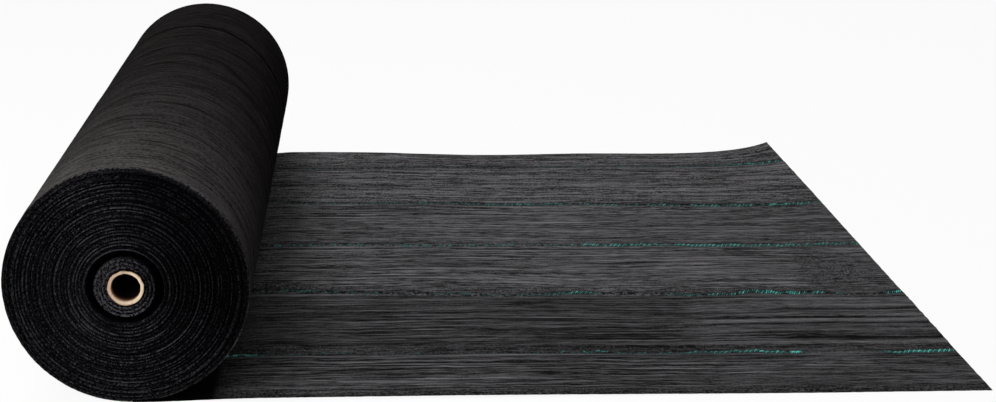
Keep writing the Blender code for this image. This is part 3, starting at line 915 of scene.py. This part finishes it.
def marker_marks(x, y):
    """Rough and knotted cloth round the marker yarns with painted shadow round them, and ridges beside them,
    at each place.
    """
    seam, pit, shadow, ridge = (np.zeros(y.shape) for _ in range(4))
    for number, marker in enumerate(MARKERS):
        line = marker_line(marker, x)
        clear = marker_clearness(marker, x)
        rough = marker.rough * (0.65 + 0.55 * line_noise(x * 7, 30 + number))
        seam = np.maximum(seam, bell(y - line - 0.013, 0.013) * rough)
        pit = np.maximum(pit, marker.knotted * (1 - 0.8 * clear) * bell(y - line, 0.0065))
        # Painted shadow round the yarn, stronger where it shows clearly
        dark = marker.dark * (0.25 + 0.75 * clear)
        shadow = np.maximum(shadow, dark * bell(y - line - 0.0020, 0.0068))
        straight = (2 * marker.share - 1) * HALF_WIDTH + MILLIMETRE * marker.ridge_aside
        gash = np.clip(0.35 + 1.6 * line_noise(x * 8, 50 + number), 0, 1)
        ridge = ridge + bell(y - straight, 0.0026) - gash * bell(y - straight + 0.0042, 0.0022)
    pebbly = window(x, 0.822, 0.93, 0.008, 0.03) * window(y, -0.160, -0.01, 0.02, 0.02)
    return {"seam": np.maximum(seam, 0.5 * pebbly), "pit": pit, "shadow": shadow, "ridge": ridge}


def roll_up(piece):
    """Give the piece a mesh of its own; nothing here takes it up or shortens it as the roll travels."""
    1 - TRAVEL / (LAID_REACH - TONGUE_REACH)
    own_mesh(piece)


class WEEDROLL_OT_laid_length(Operator):
    """Lay out the woven cloth, with streaks, selvedges and a curled far corner"""
    bl_idname = "weedroll.laid_length"
    bl_label = "Laid length"

    def execute(self, context):
        steps_across, under_steps = 430, 48
        x = np.linspace(LAID_START, LAID_REACH, LAID_STEPS + 1)[:, None]
        low_edge = -HALF_WIDTH + np.abs(0.0006 * line_noise(x * 160, 41))
        high_edge = HALF_WIDTH - np.abs(0.0006 * line_noise(x * 160, 42))
        y = low_edge + np.linspace(0, 1, steps_across)[None, :] * (high_edge - low_edge)
        fold, zone = cloth_folds(x, y)
        ruck = 0.0004 * value_noise(x * 6, y * 120, 43) + 0.0002 * value_noise(x * 18, y * 330, 44)
        top = laid_surface(x, y)
        top[..., 2] += sizes().cloth_thickness + ruck + 0.0006 * (fold + zone)
        under = laid_surface(x, low_edge + np.linspace(1, 0, under_steps)[None, :] * (high_edge - low_edge))
        under[..., 2] = np.maximum(under[..., 2] - 0.0001, 0)
        points = np.concatenate([top, under], 1)
        selvedge = np.maximum(bell(y - low_edge, 0.018), 0.6 * bell(y - high_edge, 0.012))
        marks = {**marker_marks(x, y), "fold": fold, "selvedge": selvedge}
        material = laid_cloth_material()
        for name, rows, body, node in (
                ("cloth_tongue", slice(0, TONGUE_STEPS + 1), "outer_wrap", "outer_wrap"),
                ("laid_cloth", slice(TONGUE_STEPS, None), "laid_fabric", "laid_sheet")):
            sheet = lattice_piece(name, [points[rows]], material)
            for mark, values in marks.items():
                add_mark(sheet, mark, np.concatenate([values, np.zeros(under.shape[:2])], 1)[rows])
            take_over(sheet, body, node)
            if body == "laid_fabric":
                roll_up(sheet)
        return {"FINISHED"}


def tape_points(path, radius, sides):
    """Rings of points of a flat tape round a path that runs mostly along X."""
    turns = np.arange(sides) * FULL_TURN / sides
    ring = np.stack([turns * 0, 1.8 * np.cos(turns), 0.6 * np.sin(turns)], -1)
    return path[:, None, :] + radius[:, None, None] * ring[None]


def stitch_turn(cycle):
    """The turn of a strand whose slanted way over the cloth is longer than its way back."""
    over_share = 0.74
    part = np.mod(cycle, 1)
    over = part / over_share
    back = 1 + (part - over_share) / (1 - over_share)
    return math.pi * np.where(part < over_share, over, back)


def marker_strands(number, x, stitch):
    """The two strands of a marker yarn as rings of points, and how clearly each point shows, with painted
    shade where a strand turns down.
    """
    marker = MARKERS[number]
    sides = 6
    thick = sizes().yarn_radius
    line = marker_line(marker, x) + 0.0026 * line_noise(stitch / 3.0, 100 + number)
    slip = 0.06 * line_noise(stitch / 2.3, 60 + number)
    width = sizes().stitch_width * marker.stitch_share
    width = width * (0.9 + 0.3 * line_noise(stitch / 2.7, 80 + number))
    patchy = line_noise(x * 26, 70 + number) + 0.6 * line_noise(x * 90, 90 + number)
    uneven = 0.75 + 0.45 * line_noise(stitch / 1.4, 20 + number)
    braid = 0.32 + 0.43 * ease((line_noise(stitch / 7, 10 + number) - 0.15) / 0.5)
    clear = np.clip((marker_clearness(marker, x) + 0.12 * patchy) * uneven, 0, 1)
    raised = ease(clear / 0.7)
    gate = ease((line_noise(stitch / 0.9, 40 + number) + 2.4 * clear - 0.1) / 0.5)
    strands = []
    shown = []
    for side in (0, 1):
        turn = stitch_turn((stitch + side) / 2 + slip)
        place = laid_surface(x, line - width / 2 * (0.7 + 0.3 * raised) * np.cos(turn))
        lift = sizes().cloth_thickness * (0.45 + 0.75 * raised) + (0.0003 + 0.0006 * raised) * np.sin(turn)
        place[:, 2] = np.maximum(place[:, 2] + lift - 0.0006 * (1 - gate), 0.0002)
        # Painted shade: each strand is dimmed where it turns down under the cloth
        top = ease(np.sin(turn) + 1.12 - 0.30 * patchy) * (braid if side else 1)
        strands.append(tape_points(place, thick * (0.45 + 0.4 * raised + 0.25 * raised * top), sides))
        shown.append(np.repeat(clear * top * gate, sides))
    return strands, np.concatenate(shown)


class WEEDROLL_OT_marker_yarns(Operator):
    """Weave in the green marker yarns, each of two strands twisted round each other"""
    bl_idname = "weedroll.marker_yarns"
    bl_label = "Marker yarns"

    def execute(self, context):
        material = yarn_material()
        pitch = sizes().stitch_pitch
        steps_a_stitch = 6
        end_margin = 0.0015
        steps = np.arange(int((LAID_LENGTH - 2 * end_margin) / pitch * steps_a_stitch))
        stitch = steps / steps_a_stitch
        x = LAID_START + end_margin + stitch * pitch
        past_tongue = x > TONGUE_REACH
        for number in range(len(MARKERS)):
            strands, shown = marker_strands(number, x[past_tongue], stitch[past_tongue])
            yarn = lattice_piece(f"marker_yarn_{number + 1}", strands, material)
            add_mark(yarn, "clear", shown)
            take_over(yarn, "laid_fabric", f"marker_thread_{number + 1}")
            roll_up(yarn)
        return {"FINISHED"}


class WEEDROLL_OT_declare_cloth(Operator):
    """A step that does nothing: no piece is declared cloth and no size is given"""
    bl_idname = "weedroll.declare_cloth"
    bl_label = "Cloth sizes"

    def execute(self, context):
        return {"FINISHED"}


# The stage

# The camera, fitted to the outline of the roll and the laid length
PICTURE_WIDTH = 996
FOCAL_PIXELS = 1687.7
AXIS_PIXEL_X = 424.0
CAMERA_PLACE = (0.2538, -2.1826, 0.7178)
CAMERA_DOWN = math.radians(16.42)
CAMERA_RIGHT = math.radians(2.02)
SENSOR_WIDTH = 36

# Each lamp's name, place, target, size across and power in watts
LAMPS = (
    ("near left light", (-0.60, -1.45, 0.95), (0, -0.45, 0.12), 0.6, 8),
    ("front light", (-0.35, -2.30, 0.55), (0, -0.5, 0.13), 0.9, 9),
    ("overhead light", (-0.60, 0.25, 2.1), (0.35, 0.1, 0), 1.1, 21),
)

# How strongly the white world lights the scene, and how strongly it is seen
WORLD_LIGHT = 0.35
WORLD_SEEN = 1.0

# The floor's reach each way, its place just under the cloth, and its share of plain white as it is seen
FLOOR_REACH = 12.0
FLOOR_HEIGHT = -0.0003
FLOOR_WHITE_SHARE = 0.92


class WEEDROLL_OT_stage(Operator):
    """Set the pale floor, the soft light and the camera"""
    bl_idname = "weedroll.stage"
    bl_label = "Stage"

    def execute(self, context):
        scene = context.scene
        scene.view_settings.view_transform = "Standard"
        self.add_floor()
        scene.world = self.white_world()
        for lamp in LAMPS:
            self.add_lamp(*lamp)
        scene.camera = self.add_camera()
        return {"FINISHED"}

    def add_floor(self):
        tree = ShaderTree(bpy.data.materials.new("pale floor"))
        seen = tree.ray("Camera")
        glow = tree.node("Emission", {}, {"Color": (1, 1, 1), "Strength": 1.0})
        shown = tree.blend(seen, colours().floor_bounce, colours().floor)
        tree.surface(shown, roughness=1.0, specular=0.0)
        lit = Wire(tree, tree.nodes["Principled BSDF"].outputs["BSDF"])
        mixed = tree.node("MixShader", {}, {0: seen * FLOOR_WHITE_SHARE, 1: lit, 2: glow})
        tree.feed(tree.nodes["Material Output"].inputs["Surface"], mixed)
        mesh = bpy.data.meshes.new("floor")
        corners = ((-1, -1), (1, -1), (1, 1), (-1, 1))
        points = [(x * FLOOR_REACH, y * FLOOR_REACH, FLOOR_HEIGHT) for x, y in corners]
        mesh.from_pydata(points, [], [(0, 1, 2, 3)])
        mesh.materials.append(tree.owner)
        add_object("floor", mesh)

    def white_world(self):
        tree = ShaderTree(bpy.data.worlds.new("studio"))
        seen = tree.ray("Camera").or_more(tree.ray("Glossy")).or_more(tree.ray("Transmission"))
        background = tree.nodes["Background"]
        tree.feed(background.inputs["Color"], (1, 1, 1))
        tree.feed(background.inputs["Strength"], seen * (WORLD_SEEN - WORLD_LIGHT) + WORLD_LIGHT)
        return tree.owner

    def add_lamp(self, name, place, target, size, power):
        data = bpy.data.lights.new(name, "AREA")
        data.shape = "DISK"
        data.size = size
        data.energy = power
        lamp = add_object(name, data)
        lamp.location = place
        lamp.rotation_euler = (Vector(target) - Vector(place)).to_track_quat("-Z", "Y").to_euler()

    def add_camera(self):
        data = bpy.data.cameras.new("camera")
        data.sensor_width = SENSOR_WIDTH
        data.lens = FOCAL_PIXELS / PICTURE_WIDTH * SENSOR_WIDTH
        data.shift_x = 0.5 - AXIS_PIXEL_X / PICTURE_WIDTH
        data.dof.use_dof = False
        camera = add_object("camera", data)
        camera.location = CAMERA_PLACE
        camera.rotation_euler = (FULL_TURN / 4 - CAMERA_DOWN, 0, -CAMERA_RIGHT)
        return camera


STEPS = (WEEDROLL_OT_stage, WEEDROLL_OT_core, WEEDROLL_OT_tape, WEEDROLL_OT_winding, WEEDROLL_OT_last_lap,
         WEEDROLL_OT_laid_length, WEEDROLL_OT_marker_yarns, WEEDROLL_OT_declare_cloth)


class WEEDROLL_PT_panel(Panel):
    """The steps that dress the roll, in order"""
    bl_idname = "WEEDROLL_PT_panel"
    bl_label = "Fabric roll"
    bl_space_type = "VIEW_3D"
    bl_region_type = "UI"
    bl_category = "Fabric roll"

    def draw(self, context):
        for step in STEPS:
            self.layout.operator(step.bl_idname)
        for group in (sizes(), colours()):
            for name in group.__annotations__:
                self.layout.prop(group, name)


CLASSES = (RollSizes, RollColours, *STEPS, WEEDROLL_PT_panel)


def register():
    for item in CLASSES:
        bpy.utils.register_class(item)
    bpy.types.Scene.weed_roll_sizes = PointerProperty(type=RollSizes)
    bpy.types.Scene.weed_roll_colours = PointerProperty(type=RollColours)


def unregister():
    del bpy.types.Scene.weed_roll_colours
    del bpy.types.Scene.weed_roll_sizes
    for item in reversed(CLASSES):
        bpy.utils.unregister_class(item)


def main():
    register()
    for step in STEPS:
        group, name = step.bl_idname.split(".")
        getattr(getattr(bpy.ops, group), name)()


if __name__ == "__main__":
    main()
